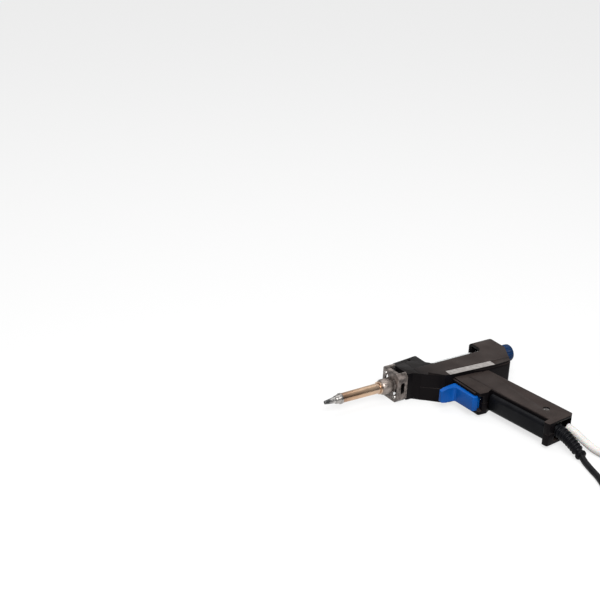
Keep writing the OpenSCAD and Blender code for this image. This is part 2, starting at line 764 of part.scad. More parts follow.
module housing_inside() {
    // Screw bosses, pegs for the switch and posts for the board
    grip_screw_place() cylinder(h = grip_w - 2, d = 6.4, center = true);
    body_screw_places() cylinder(h = body_w - 2, d = 7.2, center = true);
    for (y = [5, 15]) translate([switch_x + 7, switch_top_y - y, -grip_half + 1])
        cylinder(h = grip_w - 2, d = 2.9);
    for (x = [board_x + 2, board_x + 16]) translate([x, board_y + 7.6, -body_half + 1])
        cylinder(h = body_half - 1 - board_z, d = 3);
}

module housing_half(side) {
    intersection() {
        difference() {
            union() {
                difference() {
                    shell_outer();
                    inner_space();
                }
                housing_inside();
            }
            // Holes for the screws, the pivot pin and the label
            screw_places() translate([0, 0, 2 - grip_half]) cylinder(h = band_w, d = 3);
            screw_places() translate([0, 0, grip_half - 3]) cylinder(h = band_w, d = 5.6);
            translate([pivot_x, pivot_y, -grip_half + 0.9])
                cylinder(h = grip_w - 1.8, d = pivot_pin_d + 0.04);
            label_place(0.15);
        }
        translate([-over, -grip_len - 60, side > 0 ? 0 : -40]) cube([300, grip_len + 100, 40]);
    }
}

module housing_left() color("#4b4240") gun() housing_half(1);

module housing_right() color("#4b4240") gun() housing_half(-1);

// The label lies in a shallow recess of the left band
module label_place(grow) {
    translate([label_x, label_top_y, band_half - label_t]) rotate([0, 0, -band_slope])
        translate([-grow, -label_h - grow, 0])
            linear_extrude(label_t + (grow > 0 ? over : 0)) polygon([[0, 0],
                [label_len + 2 * grow, 0], [label_len + 2 * grow, label_h + 2 * grow],
                [0, label_h + 2 * grow]]);
}

module label_strip() color("lightgray") gun() label_place(0);

module grip_strap() {
    start_s = (grip_y - cheek_low_y - 2) / cos(grip_lean);
    color("#101012") gun() grip_frame() translate([0, -start_s, 0]) rotate([90, 0, 0]) {
        linear_extrude(grip_len - lip_len - start_s) polygon(outline([
            [-grip_depth - strap_t, -strap_w / 2, 3.8], [-grip_depth - 1.2, -strap_w / 2, 0.4],
            [-grip_depth - 1.2, strap_w / 2, 0.4], [-grip_depth - strap_t, strap_w / 2, 3.8]]));
        linear_extrude(grip_len - lip_len - start_s)
            translate([-grip_depth - 1.4, 2 - strap_w / 2]) square([1.4, strap_w - 4]);
    }
}

module housing_screws() {
    color("gray") gun() screw_places() difference() {
        union() {
            translate([0, 0, grip_half - 3]) cylinder(h = 2, d = 5.4);
            translate([0, 0, 2.4 - grip_half]) cylinder(h = grip_w - 5, d = 2.9);
        }
        for (a = [0, 90]) rotate([0, 0, a]) translate([-1.6, -0.35, grip_half - 2])
            cube([3.2, 0.7, over + 1]);
    }
}

// Trigger and switch
function trigger_outline() = [
    [cheek_x - trigger_lip_len, pivot_y - 3.6, 1.6],
    [cheek_x - trigger_lip_len, pivot_y - 3.6 + trigger_lip_t, 1.4],
    [cheek_x - 4, pivot_y + 2.4, 3], [pivot_x, pivot_y + 3.4, 2],
    [pivot_x + 3, pivot_y + 2, 1.5], [bar_back_x, pivot_y - 6, 1],
    [bar_back_x, cheek_low_y + nose_wall_t + 1.6, 1],
    [cheek_x + 0.4, cheek_low_y + nose_wall_t + 1.6, 0],
    [cheek_x + 0.4, trigger_low_y, 1], [cheek_x - trigger_out, trigger_low_y + 0.6, 1.6],
    [cheek_x - trigger_out - 1.2, pivot_y - 3.4, 3]];

module trigger() {
    color("royalblue") gun() difference() {
        intersection() {
            plate(trigger_outline(), trigger_w / 2);
            // The lip narrows to a round end
            rotate([90, 0, 0]) linear_extrude(over - trigger_low_y) polygon(outline([
                [cheek_x - trigger_lip_len, 1.4 - trigger_w / 2, 1.6],
                [cheek_x - trigger_lip_len + 6, -trigger_w / 2, 3],
                [cheek_x + 20, -trigger_w / 2, 0], [cheek_x + 20, trigger_w / 2, 0],
                [cheek_x - trigger_lip_len + 6, trigger_w / 2, 3],
                [cheek_x - trigger_lip_len, trigger_w / 2 - 1.4, 1.6]]));
        }
        translate([pivot_x, pivot_y, 0])
            cylinder(h = 2 * trigger_w, d = pivot_pin_d + 2 * run_fit, center = true);
        // Pocket that seats the return spring
        translate([0, trigger_spring_y, 0]) rod_x(bar_back_x - 2.5, bar_back_x + over, 2.4);
    }
}

module trigger_pin() {
    color("silver") gun() translate([pivot_x, pivot_y, -grip_half + 1])
        cylinder(h = grip_w - 2, d = pivot_pin_d);
}

module trigger_spring() {
    color("silver") gun() translate([0, trigger_spring_y, 0])
        spring_x(bar_back_x - 2.5, switch_x, 1.8, 0.3, 4);
}

module microswitch() {
    color("#202024") gun() difference() {
        union() {
            translate([switch_x, switch_top_y - switch_len, -switch_t / 2])
                cube([switch_depth, switch_len, switch_t]);
            // Solder tags
            for (y = [3, 10, 17]) translate([switch_x + switch_depth - 0.2, switch_top_y - y - 1.6, -0.3])
                cube([3.4, 3.2, 0.6]);
            // Lug that holds the lever's pin
            translate([switch_x - 2.2, lever_pivot_y - 1.2, -switch_t / 2]) cube([2.4, 2.4, switch_t]);
        }
        translate([switch_x - 2.2 - over, lever_pivot_y - 2, -lever_w / 2 - run_fit])
            cube([2.2 + over, 4, lever_w + 2 * run_fit]);
        translate([switch_x - 1.1, lever_pivot_y, 0])
            cylinder(h = 2 * switch_t, r = lever_pin_r + run_fit, center = true);
        for (y = [5, 15]) translate([switch_x + 7, switch_top_y - y, 0])
            cylinder(h = 2 * switch_t, d = 3, center = true);
        translate([switch_x, switch_top_y - 7.5, 0]) rod_x(-over, 3, 1.1 + run_fit);
    }
}

// The lever hangs from a pin in the switch's lug and leans towards the trigger
module switch_lever() {
    color("silver") gun() translate([switch_x - 1.1, lever_pivot_y, 0]) {
        cylinder(h = switch_t, r = lever_pin_r, center = true);
        cylinder(h = lever_w, r = 0.85, center = true);
        translate([0, 0, -lever_w / 2]) linear_extrude(lever_w) polygon([
            [-0.85, 0], [-0.25, 0], [-0.25, -5.5], [-1.9, 1.6 - lever_reach], [-2.5, -lever_reach],
            [-2.5 - lever_t, -lever_reach], [-2.1 - lever_t, 1.6 - lever_reach], [-0.85, -5.6]]);
    }
}

module switch_button() {
    color("crimson") gun() translate([0, switch_top_y - 7.5, 0])
        rod_x(switch_x - 0.75, switch_x + 1.6, 1.1);
}

module terminal_board() {
    color("darkgreen") gun() translate([board_x, board_y, -board_z]) {
        cube([18, 9.8, 1.6]);
        for (x = [3, 8, 13]) translate([x, 3.5, 1.6]) cylinder(h = 1.6, d = 3);
    }
}

// Leads, wiring and hose inside the housing
lead_points = [[boss_x + 4.2, -2.4, 0], [80, -3, 0], [92, -3.2, 0], [95, -8, 0], [97, -13, -2],
    [102, -17.5, -4], [104, -18.5, -4.4]];

module heater_leads() {
    color("firebrick") gun() for (z = [-1.5, 1.5])
        sweep(route([for (p = lead_points) p + [0, 0, z]], 2), 0.6, 6);
}

wiring_points = [[relief_u, 2 - bulkhead_s, 0], [-18.6, -60, 0], [-15, -36, 0], [-12.6, -14, 0],
    [-15, -2, 0], [-17.6, 6, -1], [-22, 12.4, -2.6], [-26.8, 16.6, -3.5], [-30, 18.4, -3.5]];

module inner_wiring() {
    color("#303034") gun() grip_frame() sweep(route(wiring_points, 2), 1.6, 8);
}

nipple_x = carrier_x + carrier_t + 1.5;
inner_hose_points = [[nipple_x, -15.6, 0], [nipple_x, -18.4, 0], [nipple_x - 3.6, -21.8, 0],
    [nipple_x - 13, -22.2, 0], [nipple_x - 23, -22.2, 0], [nipple_x - 30, -24.6, 0],
    [nipple_x - 32.8, -31, 0], [nipple_x - 31.6, -40, 0], [nipple_x - 30, -50, 0]];

module inner_hose() {
    color("gainsboro") gun() sweep(route(concat(inner_hose_points, [for (s = [nipple_s - 38, nipple_s - 18, nipple_s])
        [grip_x + nipple_u * cos(grip_lean) + s * sin(grip_lean),
            grip_y + nipple_u * sin(grip_lean) - s * cos(grip_lean), 0]]), 2), 2.4, 8);
}

module hose_nipple() {
    color("silver") gun() grip_frame() translate([nipple_u, 0, 0]) difference() {
        union() {
            rod_s(nipple_s, bulkhead_s + bulkhead_t + 4, 2);
            rod_s(bulkhead_s - 1, bulkhead_s, 3.4);
            rod_s(bulkhead_s, bulkhead_s + bulkhead_t, 2.5);
        }
        rod_s(nipple_s - over, grip_len, 1.3);
    }
}

// Strain relief: a curved tapered sleeve with ribs around it
relief_points = [[146.8, -125.8, 0], [147.8, -136, -0.2], [148.2, -144, -1.6], [148.3, -152, -4.2],
    [147.9, -160, -7.2], [146.7, -166, -9]];

module strain_relief() {
    path = route(relief_points, 4);
    n = len(path) - 1;
    color("black") gun() {
        grip_frame() translate([relief_u, 0, 0]) {
            rod_s(bulkhead_s - 1.4, bulkhead_s, 4.3);
            rod_s(bulkhead_s, bulkhead_s + bulkhead_t, 3.8);
            rod_s(bulkhead_s + bulkhead_t, bulkhead_s + bulkhead_t + 2, 5.5);
        }
        sweep(path, [for (i = [0:n]) 5 - 1.4 * i / n], 12);
        for (i = [3:2:n - 1]) relief_rib(path[i], path[i + 1] - path[i - 1], 6.2 - 1.5 * i / n);
    }
}

module relief_rib(place, along, r) {
    translate(place) rotate([0, acos(along[2] / norm(along)), atan2(along[1], along[0])])
        cylinder(h = 1.6, r = r, center = true);
}

// Cable, from the relief to its coil and on to the plug
cable_coil_mid = [146, -268];
cable_coil_r = 32.5;
cable_lead = [[146.7, -166, 5], [144.6, -173, 3.3], [141.4, -184, 2.8], [137, -197.6, 2.8],
    [125.2, -222.5, 2.8], [112.2, -248.5, 2.8]];
cable_tail = [[152.6, -305.5, 8.9], [160, -304.9, 8.2], [168, -305, 7.4], [176, -305.3, 7.2],
    [184, -305.4, 7.3]];

hose_coil_mid = [217, -206];
hose_coil_r = 38.5;
hose_lead = [[159.3, -133.8, 14], [161.4, -142, 11.4], [163.6, -152, 7.2], [165.6, -163, 4.2],
    [168, -176, 3.5], [169.4, -188, 3.5], [169.9, -199, 3.5]];
hose_tail = [[234, -251.4, 9.9], [243, -251.2, 8.6], [250, -251.1, 7.3], [256, -251.1, 6.93]];

// Moves points that are written with the table at z = 0
module on_table() translate([-origin_x, -origin_y, 0]) children();

module coil_ring(mid, r, d, wide) {
    translate([mid[0], mid[1], 0]) rotate_extrude() translate([r - wide * d / 2, 0])
        square([wide * d, 2 * d]);
}

module power_cable() {
    color("#141416") on_table() {
        sweep(route(cable_lead, 3), cable_d / 2, 8);
        sweep(route(cable_tail, 3), cable_d / 2, 8);
    }
}

module cable_coil() color("#141416") on_table() coil_ring(cable_coil_mid, cable_coil_r, cable_d, 3);

module vacuum_hose() {
    color("gainsboro", 0.7) on_table() {
        sweep(route(hose_lead, 3), hose_d / 2, 8);
        sweep(route(hose_tail, 3), hose_d / 2, 8);
    }
}

module hose_coil() color("gainsboro", 0.7) on_table() coil_ring(hose_coil_mid, hose_coil_r, hose_d, 3);

// Plug of the cable, which lies on the table beside the coil
plug_place = [184, -305.4, 0];
plug_boot_len = 14;
module plug_frame() on_table() translate([plug_place[0], plug_place[1], plug_ring_d / 2]) children();

module plug_boot() {
    color("black") plug_frame() rod_x(0, plug_boot_len, 4, 5);
}

plug_body_r = 5.6;
plug_ring_x = plug_boot_len + plug_body_len - 9;
plug_face_x = plug_boot_len + plug_body_len;

module plug_body() {
    color("silver") plug_frame() difference() {
        union() {
            rod_x(plug_boot_len, plug_ring_x + 1.5, plug_body_r);
            rod_x(plug_ring_x + 1.5, plug_ring_x + 2.5, plug_body_r + 0.45);
            rod_x(plug_ring_x + 2.5, plug_face_x, plug_body_r - 0.6);
        }
        rod_x(plug_face_x - 6, plug_face_x + over, 4.4);
    }
}

module plug_ring() {
    from = plug_ring_x;
    color("gainsboro") plug_frame() difference() {
        rod_x(from, from + 12, plug_ring_d / 2);
        rod_x(from - over, from + 1.2 + over, plug_body_r + run_fit);
        rod_x(from + 1.2, from + 12 + over, plug_body_r + 0.6);
        for (a = [0:15:345]) rotate([a, 0, 0]) translate([0, plug_ring_d / 2 + 0.3, 0])
            rod_x(from + 2, from + 10, 0.6);
    }
}

module plug_insert() {
    color("#181818") plug_frame() {
        rod_x(plug_face_x - 6, plug_face_x - 1.5, 4.4);
        for (a = [0:72:288]) rotate([a, 0, 0]) translate([0, 2.5, 0])
            rod_x(plug_face_x - 1.6, plug_face_x + 2, 0.5);
    }
}

// Fitting of the hose, whose union nut rests on one of its corners
fitting_place = [256, -251.1, 0];
fitting_r = fitting_d / 2 / cos(30);
fitting_bore_r = 1.6;
fitting_len = 24;

module fitting_frame() on_table() translate([fitting_place[0], fitting_place[1], fitting_r]) children();

// A hexagonal bar along X with a corner at the bottom and bevelled ends
module hex_bar(from, to, r) {
    intersection() {
        translate([from, 0, 0]) rotate([0, 90, 0]) cylinder(h = to - from, r = r, $fn = 6);
        union() {
            rod_x(from, from + 0.8, r * 0.9, r + 0.01);
            rod_x(from + 0.8, to - 0.8, r + 0.01);
            rod_x(to - 0.8, to, r + 0.01, r * 0.9);
        }
    }
}

module hose_fitting() {
    color("silver") fitting_frame() difference() {
        union() {
            rod_x(0, 2, hose_d / 2 + 0.8);
            hex_bar(2, 8, fitting_r - 1.6);
            rod_x(8, fitting_len, 3);
            rod_x(fitting_len - 2, fitting_len, 4.2);
        }
        rod_x(2, fitting_len + over, fitting_bore_r);
    }
}

module fitting_nut() {
    color("gainsboro") fitting_frame() difference() {
        hex_bar(12, fitting_len - 2.4, fitting_r);
        rod_x(12 - over, fitting_len, 3 + run_fit);
    }
}

nozzle();
nozzle_nut();
barrel_pipe();
heater_core();
suction_tube();
barrel_boss();
front_bracket();
bracket_screws();
nose_block();
front_seal();
filter_tube();
pre_filter();
spring_filter();
ceramic_filter();
rear_seal();
seal_carrier();
knob_spring();
release_knob();
housing_left();
housing_right();
label_strip();
grip_strap();
housing_screws();
trigger();
trigger_pin();
trigger_spring();
microswitch();
switch_lever();
switch_button();
terminal_board();
heater_leads();
inner_wiring();
inner_hose();
hose_nipple();
strain_relief();
power_cable();
cable_coil();
plug_boot();
plug_body();
plug_ring();
plug_insert();
vacuum_hose();
hose_coil();
hose_fitting();
fitting_nut();
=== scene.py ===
"""Desoldering gun on its right side, with its power cable and vacuum hose.

Shapes are given in millimetres and turned into metres by MM. What a shader reads is in metres.
"""
import json
import math

import bmesh
import bpy
from mathutils import Matrix, Vector
from mathutils.geometry import intersect_point_line


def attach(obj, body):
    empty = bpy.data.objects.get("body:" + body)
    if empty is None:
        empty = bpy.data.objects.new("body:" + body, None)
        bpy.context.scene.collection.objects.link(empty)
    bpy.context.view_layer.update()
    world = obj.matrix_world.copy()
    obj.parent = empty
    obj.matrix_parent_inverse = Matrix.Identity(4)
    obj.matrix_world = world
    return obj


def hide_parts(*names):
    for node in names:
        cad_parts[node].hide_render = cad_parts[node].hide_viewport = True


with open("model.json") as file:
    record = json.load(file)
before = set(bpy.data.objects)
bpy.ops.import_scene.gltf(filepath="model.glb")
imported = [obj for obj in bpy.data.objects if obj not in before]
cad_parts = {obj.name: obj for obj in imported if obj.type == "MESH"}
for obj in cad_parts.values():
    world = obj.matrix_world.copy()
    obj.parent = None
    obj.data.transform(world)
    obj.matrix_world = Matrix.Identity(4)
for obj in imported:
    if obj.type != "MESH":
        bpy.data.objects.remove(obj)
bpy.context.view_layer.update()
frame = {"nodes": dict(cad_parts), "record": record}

bpy.ops.object.select_all(action="DESELECT")

MM = 0.001
# The nozzle's tip on the barrel axis, where the gun's own drawing starts, seen from the part's origin
TIP = Vector((-104.75, 59.3859, 14.0)) * MM
# The upper end of the grip's back line, seen from the nozzle's tip, and how far that line leans
GRIP_TOP = Vector((154.2, -34.7, 0.0)) * MM
GRIP_LEAN = math.radians(7)
# Faces that meet at less than this are shaded as one smooth surface
SMOOTH_ANGLE = math.radians(32)


def on_table(x, y, z):
    """A point of the gun's drawing in millimetres, with its height over the table."""
    return Vector((TIP.x + x * MM, TIP.y + y * MM, z * MM))


def on_gun(x, y, z):
    """A point of the gun in millimetres, with z from the plane where the halves meet."""
    return TIP + Vector((x, y, z)) * MM


def in_grip(u, s):
    """A point of the grip in millimetres: u from its back line, s down its length."""
    cos, sin = math.cos(GRIP_LEAN), math.sin(GRIP_LEAN)
    return TIP + GRIP_TOP + Vector((u * cos + s * sin, u * sin - s * cos, 0)) * MM


def in_scene(name, data):
    """A new object in the scene that shows the data."""
    thing = bpy.data.objects.new(name, data)
    bpy.context.scene.collection.objects.link(thing)
    return thing


# Camera

def set_camera():
    """The photograph's camera: where it stands, and its three directions."""
    place = (-0.716894, -0.800151, 0.583050)
    right = Vector((0.83846919, -0.54317445, 0.04394231))
    up = Vector((0.18896338, 0.36542868, 0.91145747))
    ahead = Vector((0.51113819, 0.75592552, -0.40904077))
    data = bpy.data.cameras.new("camera")
    data.sensor_width = 36
    data.lens = 82.86
    data.clip_start = 0.05
    data.clip_end = 20
    camera = in_scene("camera", data)
    turn = Matrix((right, up, -ahead)).transposed().to_4x4()
    camera.matrix_world = Matrix.Translation(place) @ turn
    bpy.context.scene.camera = camera
    bpy.context.scene.view_settings.view_transform = "Standard"


set_camera()


# Materials

def opaque(colour):
    """A written colour gets its alpha; a node's output stays as it is."""
    return (*colour, 1) if isinstance(colour, tuple) else colour


class Nodes:
    """A node tree, with short ways to add its nodes and to feed them."""

    def __init__(self, owner):
        owner.use_nodes = True
        self.tree = owner.node_tree

    def feed(self, socket, value):
        """Links a node's output to the socket, or sets the socket to a value."""
        if isinstance(value, bpy.types.NodeSocket):
            self.tree.links.new(value, socket)
        else:
            socket.default_value = value

    def node(self, kind, sockets=None, **settings):
        """A new node with its settings; sockets says what its inputs get."""
        node = self.tree.nodes.new(kind)
        for key, value in settings.items():
            setattr(node, key, value)
        for socket, value in (sockets or {}).items():
            self.feed(node.inputs[socket], value)
        return node

    def maths(self, operation, *values):
        """The result of one operation on one or two values."""
        return self.node("ShaderNodeMath", dict(enumerate(values)), operation=operation).outputs[0]

    def dot(self, one, other):
        """1 where two directions agree, less where they don't."""
        sockets = {0: one, 1: other}
        return self.node("ShaderNodeVectorMath", sockets, operation="DOT_PRODUCT").outputs["Value"]

    def spread(self, value, low, high, start=0.3, stop=0.7):
        """What the value does from start to stop becomes low to high."""
        sockets = {"Value": value, "From Min": start, "From Max": stop, "To Min": low, "To Max": high}
        return self.node("ShaderNodeMapRange", sockets).outputs["Result"]


class Finish(Nodes):
    """One finish: a Principled shader with its own noise, grain and wear."""

    def __init__(self, name, colour, rough, metal=0.0, **sockets):
        self.material = bpy.data.materials.new(name)
        super().__init__(self.material)
        self.shader = self.tree.nodes["Principled BSDF"]
        self.set(Base_Color=opaque(colour), Roughness=rough, Metallic=metal, **sockets)
        self.rough = rough
        self.coords = self.node("ShaderNodeTexCoord").outputs
        self.surface = None

    def set(self, **sockets):
        """Feeds the shader's sockets, whose names have _ in place of a space."""
        for socket, value in sockets.items():
            self.feed(self.shader.inputs[socket.replace("_", " ")], value)

    def noise(self, size, detail, stretch=(1, 1, 1)):
        """Noise whose lumps are about size metres across."""
        mapping = self.node("ShaderNodeMapping", {"Vector": self.coords["Object"], "Scale": stretch})
        sockets = {"Vector": mapping.outputs["Vector"], "Scale": 1 / size, "Detail": detail}
        return self.node("ShaderNodeTexNoise", sockets).outputs["Fac"]

    def ramp(self, value, *stops):
        """Colours along the value; each stop is a place and a colour."""
        ramp = self.node("ShaderNodeValToRGB", {"Fac": value})
        elements = ramp.color_ramp.elements
        while len(elements) < len(stops):
            elements.new(0.5)
        for element, (place, colour) in zip(elements, stops):
            element.position = place
            element.color = opaque(colour)
        return ramp.outputs["Color"]

    def mix(self, share, below, above):
        """Two colours, with as much of above as share says."""
        sockets = {0: share, 6: opaque(below), 7: opaque(above)}
        return self.node("ShaderNodeMix", sockets, data_type="RGBA").outputs[2]

    def colour(self, out):
        """The shader's colour comes from a node's output."""
        self.set(Base_Color=out)
        return self

    def roughness(self, size, swing, detail=3, stretch=(1, 1, 1)):
        """Roughness that wanders by swing on each side of its level."""
        noise = self.noise(size, detail, stretch)
        self.set(Roughness=self.spread(noise, self.rough - swing, self.rough + swing))
        return self

    def bump(self, size, depth, strength, detail=3, stretch=(1, 1, 1)):
        """One more layer of bump, with lumps size across and depth high, in metres."""
        sockets = {"Height": self.noise(size, detail, stretch), "Strength": strength, "Distance": depth}
        if self.surface is not None:
            sockets["Normal"] = self.surface
        self.surface = self.node("ShaderNodeBump", sockets).outputs["Normal"]
        self.set(Normal=self.surface)
        return self

    def worn_edges(self):
        """1 along edges, 0 elsewhere, broken up by noise."""
        blunt = self.node("ShaderNodeBevel", {"Radius": 0.0006}, samples=6).outputs["Normal"]
        sharp = self.node("ShaderNodeNewGeometry").outputs["True Normal"]
        edge = self.spread(self.dot(blunt, sharp), 0, 1, 0.99, 0.9)
        return self.maths("MULTIPLY", edge, self.spread(self.noise(0.004, 5), 0, 1, 0.4, 0.62))

    def painted_light_sides(self):
        """1 on faces that look to the gun's left or right, 0 on all others: where the sides get painted
        sheen.
        """
        split = self.node("ShaderNodeSeparateXYZ", {"Vector": self.coords["Normal"]})
        return self.spread(self.maths("ABSOLUTE", split.outputs["Z"]), 0, 1, 0.4, 0.9)

    def along(self, start, stop):
        """0 to 1 along the barrel, between two distances in millimetres from the nozzle's tip."""
        split = self.node("ShaderNodeSeparateXYZ", {"Vector": self.coords["Object"]})
        return self.spread(split.outputs["X"], 0, 1, on_gun(start, 0, 0).x, on_gun(stop, 0, 0).x)


def moulded(name, dark, light, rough, shine=0.2, painted_shade_face=None, painted_shade_span=None):
    """Moulded plastic: a fine grain, slow changes of tone, and patches that hands have polished.

    With a colour for the other faces, the gun's two sides keep the greyer tone as painted sheen, and every
    other face has that colour as painted shade; with two distances, painted shade darkens the sides towards
    the nozzle between them.
    """
    finish = Finish(name, dark, rough, Specular_IOR_Level=shine, Specular_Tint=(1, 0.9, 0.87, 1))
    tone = finish.ramp(finish.noise(0.018, 5), (0.35, dark), (0.7, light))
    # Painted shade: the sides darken towards the nozzle between the two distances
    if painted_shade_span:
        tone = finish.mix(finish.along(*painted_shade_span), painted_shade_face, tone)
    # Painted sheen and shade: the sides keep the lighter tone, every other face gets the dark colour
    if painted_shade_face:
        tone = finish.mix(finish.painted_light_sides(), painted_shade_face, tone)
    finish.colour(tone).roughness(0.014, 0.09, detail=5)
    return finish.bump(0.0004, 0.00003, 0.45, detail=2).bump(0.02, 0.00012, 0.2, detail=2)


def turned(name, dark, light, rough):
    """Turned or drawn metal: fine marks round the X axis and faint stains."""
    finish = Finish(name, dark, rough, metal=1.0)
    tone = finish.ramp(finish.noise(0.006, 6), (0.3, dark), (0.72, light))
    mark, squeeze = 0.00012, 60
    finish.colour(tone).roughness(0.003, 0.08)
    return finish.bump(mark * squeeze, 0.00002, 0.35, stretch=(squeeze, 1, 1))


def barrel_steel():
    """Steel tube that heat has turned straw to bronze, darkest near the nozzle."""
    straw, bronze, soot, bright = (0.7, 0.5, 0.34), (0.55, 0.35, 0.22), (0.33, 0.19, 0.12), (0.82, 0.7, 0.56)
    finish = Finish("heated_steel", bronze, 0.3, metal=1.0)
    heat = finish.ramp(finish.along(18, 60), (0.0, (0.34, 0.2, 0.13)), (0.2, bronze), (0.7, straw),
                       (1.0, (0.5, 0.36, 0.27)))
    stains = finish.spread(finish.noise(0.007, 6, (0.5, 1, 1)), 0, 0.55, 0.42, 0.75)
    streaks = finish.spread(finish.noise(0.0012, 4, (0.06, 1, 1)), 0, 0.25, 0.35, 0.8)
    finish.colour(finish.mix(streaks, finish.mix(stains, heat, soot), bright))
    finish.roughness(0.002, 0.07, detail=4, stretch=(0.1, 1, 1))
    return finish.bump(0.0006, 0.00002, 0.3, stretch=(0.08, 1, 1))


def tip_iron():
    """Iron-plated tip: burnt flux at the end, a tinned ring, then bare metal."""
    finish = Finish("burnt_tip", (0.2, 0.19, 0.18), 0.34, metal=1.0)
    burnt = finish.ramp(finish.noise(0.0022, 6), (0.35, (0.035, 0.038, 0.04)), (0.6, (0.16, 0.16, 0.16)),
                        (0.75, (0.42, 0.42, 0.42)))
    bare = finish.ramp(finish.noise(0.003, 4), (0.3, (0.26, 0.25, 0.24)), (0.7, (0.6, 0.58, 0.56)))
    ragged = finish.spread(finish.noise(0.003, 4), -0.25, 0.25)
    finish.colour(finish.mix(finish.maths("ADD", finish.along(3, 10), ragged), burnt, bare))
    return finish.roughness(0.002, 0.12, detail=5).bump(0.0009, 0.00006, 0.5, detail=5)


def label_foil():
    """Bare satin foil, brushed along its length, with a few rubbed places."""
    finish = Finish("bare_foil", (0.5, 0.47, 0.45), 0.42, metal=0.75)
    tone = finish.ramp(finish.noise(0.004, 5), (0.3, (0.36, 0.335, 0.32)), (0.7, (0.56, 0.525, 0.505)))
    finish.colour(tone).roughness(0.004, 0.08)
    return finish.bump(0.0011, 0.00002, 0.35, stretch=(0.06, 1, 1))


def clear_glass():
    """Clear glass with a slow ripple, and smears that scatter a little."""
    finish = Finish("clear_glass", (0.93, 0.96, 0.96), 0.03, Transmission_Weight=1.0, IOR=1.47)
    finish.set(Roughness=finish.spread(finish.noise(0.006, 5), 0.02, 0.16, 0.45, 0.75))
    return finish.bump(0.012, 0.00002, 0.1, detail=2)


def milky_silicone():
    """Silicone that lets a little light in, with cloudy changes of tone."""
    finish = Finish("milky_silicone", (0.66, 0.64, 0.62), 0.4, Subsurface_Weight=0.15,
                    Subsurface_Scale=0.002, Specular_IOR_Level=0.3)
    tone = finish.ramp(finish.noise(0.012, 4), (0.3, (0.6, 0.575, 0.555)), (0.7, (0.7, 0.68, 0.66)))
    return finish.colour(tone).roughness(0.006, 0.08).bump(0.003, 0.00003, 0.25)


def fired_ceramic():
    """Rough fired ceramic, off-white with darker clouds."""
    finish = Finish("fired_ceramic", (0.8, 0.76, 0.68), 0.75, Subsurface_Weight=0.1,
                    Subsurface_Scale=0.001)
    tone = finish.ramp(finish.noise(0.003, 5), (0.3, (0.72, 0.67, 0.58)), (0.7, (0.86, 0.83, 0.77)))
    return finish.colour(tone).roughness(0.002, 0.08).bump(0.0004, 0.00005, 0.5)


def matt_rubber(name, dark, light, rough):
    """Matt rubber or soft sleeve, with a little dust."""
    finish = Finish(name, dark, rough, Specular_IOR_Level=0.09)
    dust = finish.ramp(finish.noise(0.009, 6), (0.4, dark), (0.78, light))
    return finish.colour(dust).roughness(0.005, 0.07).bump(0.0003, 0.00003, 0.4, detail=2)


def bracket_paint():
    """Satin metallic paint on the bracket, toned by heat, worn bright on its edges."""
    finish = Finish("bracket_paint", (0.2, 0.17, 0.155), 0.45, metal=0.35)
    tone = finish.ramp(finish.noise(0.004, 6), (0.35, (0.055, 0.045, 0.04)), (0.65, (0.25, 0.21, 0.19)))
    finish.colour(finish.mix(finish.worn_edges(), tone, (0.45, 0.41, 0.38)))
    return finish.roughness(0.003, 0.1).bump(0.0005, 0.00003, 0.45)


FINISHES = {
    "nozzle_metal": tip_iron(),
    "nickel_plate": turned("satin_nickel", (0.27, 0.255, 0.245), (0.45, 0.43, 0.41), 0.33),
    "barrel_metal": barrel_steel(),
    "boss_metal": turned("satin_boss", (0.22, 0.185, 0.165), (0.38, 0.33, 0.3), 0.42),
    "bracket_metal": bracket_paint(),
    "heater_ceramic": fired_ceramic(),
    "inner_steel": turned("drawn_steel", (0.4, 0.4, 0.4), (0.6, 0.6, 0.6), 0.3),
    # Housing: the sides' tone is lighter as painted sheen; other faces, and the sides near the nozzle, get
    # painted shade
    "housing_plastic": moulded("grained_housing", (0.028, 0.021, 0.019), (0.042, 0.032, 0.029), 0.42,
                               shine=0.07, painted_shade_face=(0.005, 0.0042, 0.0048), painted_shade_span=(86, 125)),
    # Nose block: painted shade on every face that does not look sideways
    "nose_plastic": moulded("dark_nose_block", (0.009, 0.008, 0.008), (0.014, 0.0125, 0.0125), 0.4,
                            shine=0.07, painted_shade_face=(0.004, 0.0035, 0.004)),
    "strap_rubber": matt_rubber("strap_rubber", (0.004, 0.0042, 0.0055), (0.008, 0.0083, 0.0098), 0.36),
    "trigger_plastic": moulded("blue_trigger", (0.002, 0.075, 0.33), (0.003, 0.095, 0.4), 0.36),
    "knob_plastic": moulded("navy_knob", (0.002, 0.022, 0.075), (0.003, 0.03, 0.1), 0.34),
    "label_foil": label_foil(),
    "tube_glass": clear_glass(),
    "seal_rubber": matt_rubber("brown_seal", (0.05, 0.032, 0.025), (0.085, 0.06, 0.048), 0.55),
    "switch_plastic": moulded("switch_case", (0.012, 0.012, 0.014), (0.02, 0.02, 0.022), 0.4),
    "button_plastic": moulded("red_button", (0.32, 0.02, 0.016), (0.4, 0.03, 0.024), 0.35),
    "board_laminate": moulded("green_board", (0.012, 0.09, 0.035), (0.02, 0.13, 0.05), 0.28),
    "lead_sleeve": matt_rubber("red_sleeve", (0.22, 0.02, 0.016), (0.3, 0.035, 0.028), 0.5),
    "cable_rubber": matt_rubber("cable_jacket", (0.006, 0.006, 0.007), (0.012, 0.012, 0.013), 0.38),
    "hose_silicone": milky_silicone(),
    "insert_plastic": moulded("plug_insert", (0.012, 0.012, 0.012), (0.02, 0.02, 0.02), 0.45),
}


def dress(piece, slot):
    """Gives a piece the finish of its slot."""
    piece.data.materials.clear()
    piece.data.materials.append(FINISHES[slot].material)


slots = {part["node"]: part["material_slot"] for part in frame["record"]["subparts"]}
for part_node, part_slot in slots.items():
    dress(frame["nodes"][part_node], part_slot)


# Pieces with softened edges

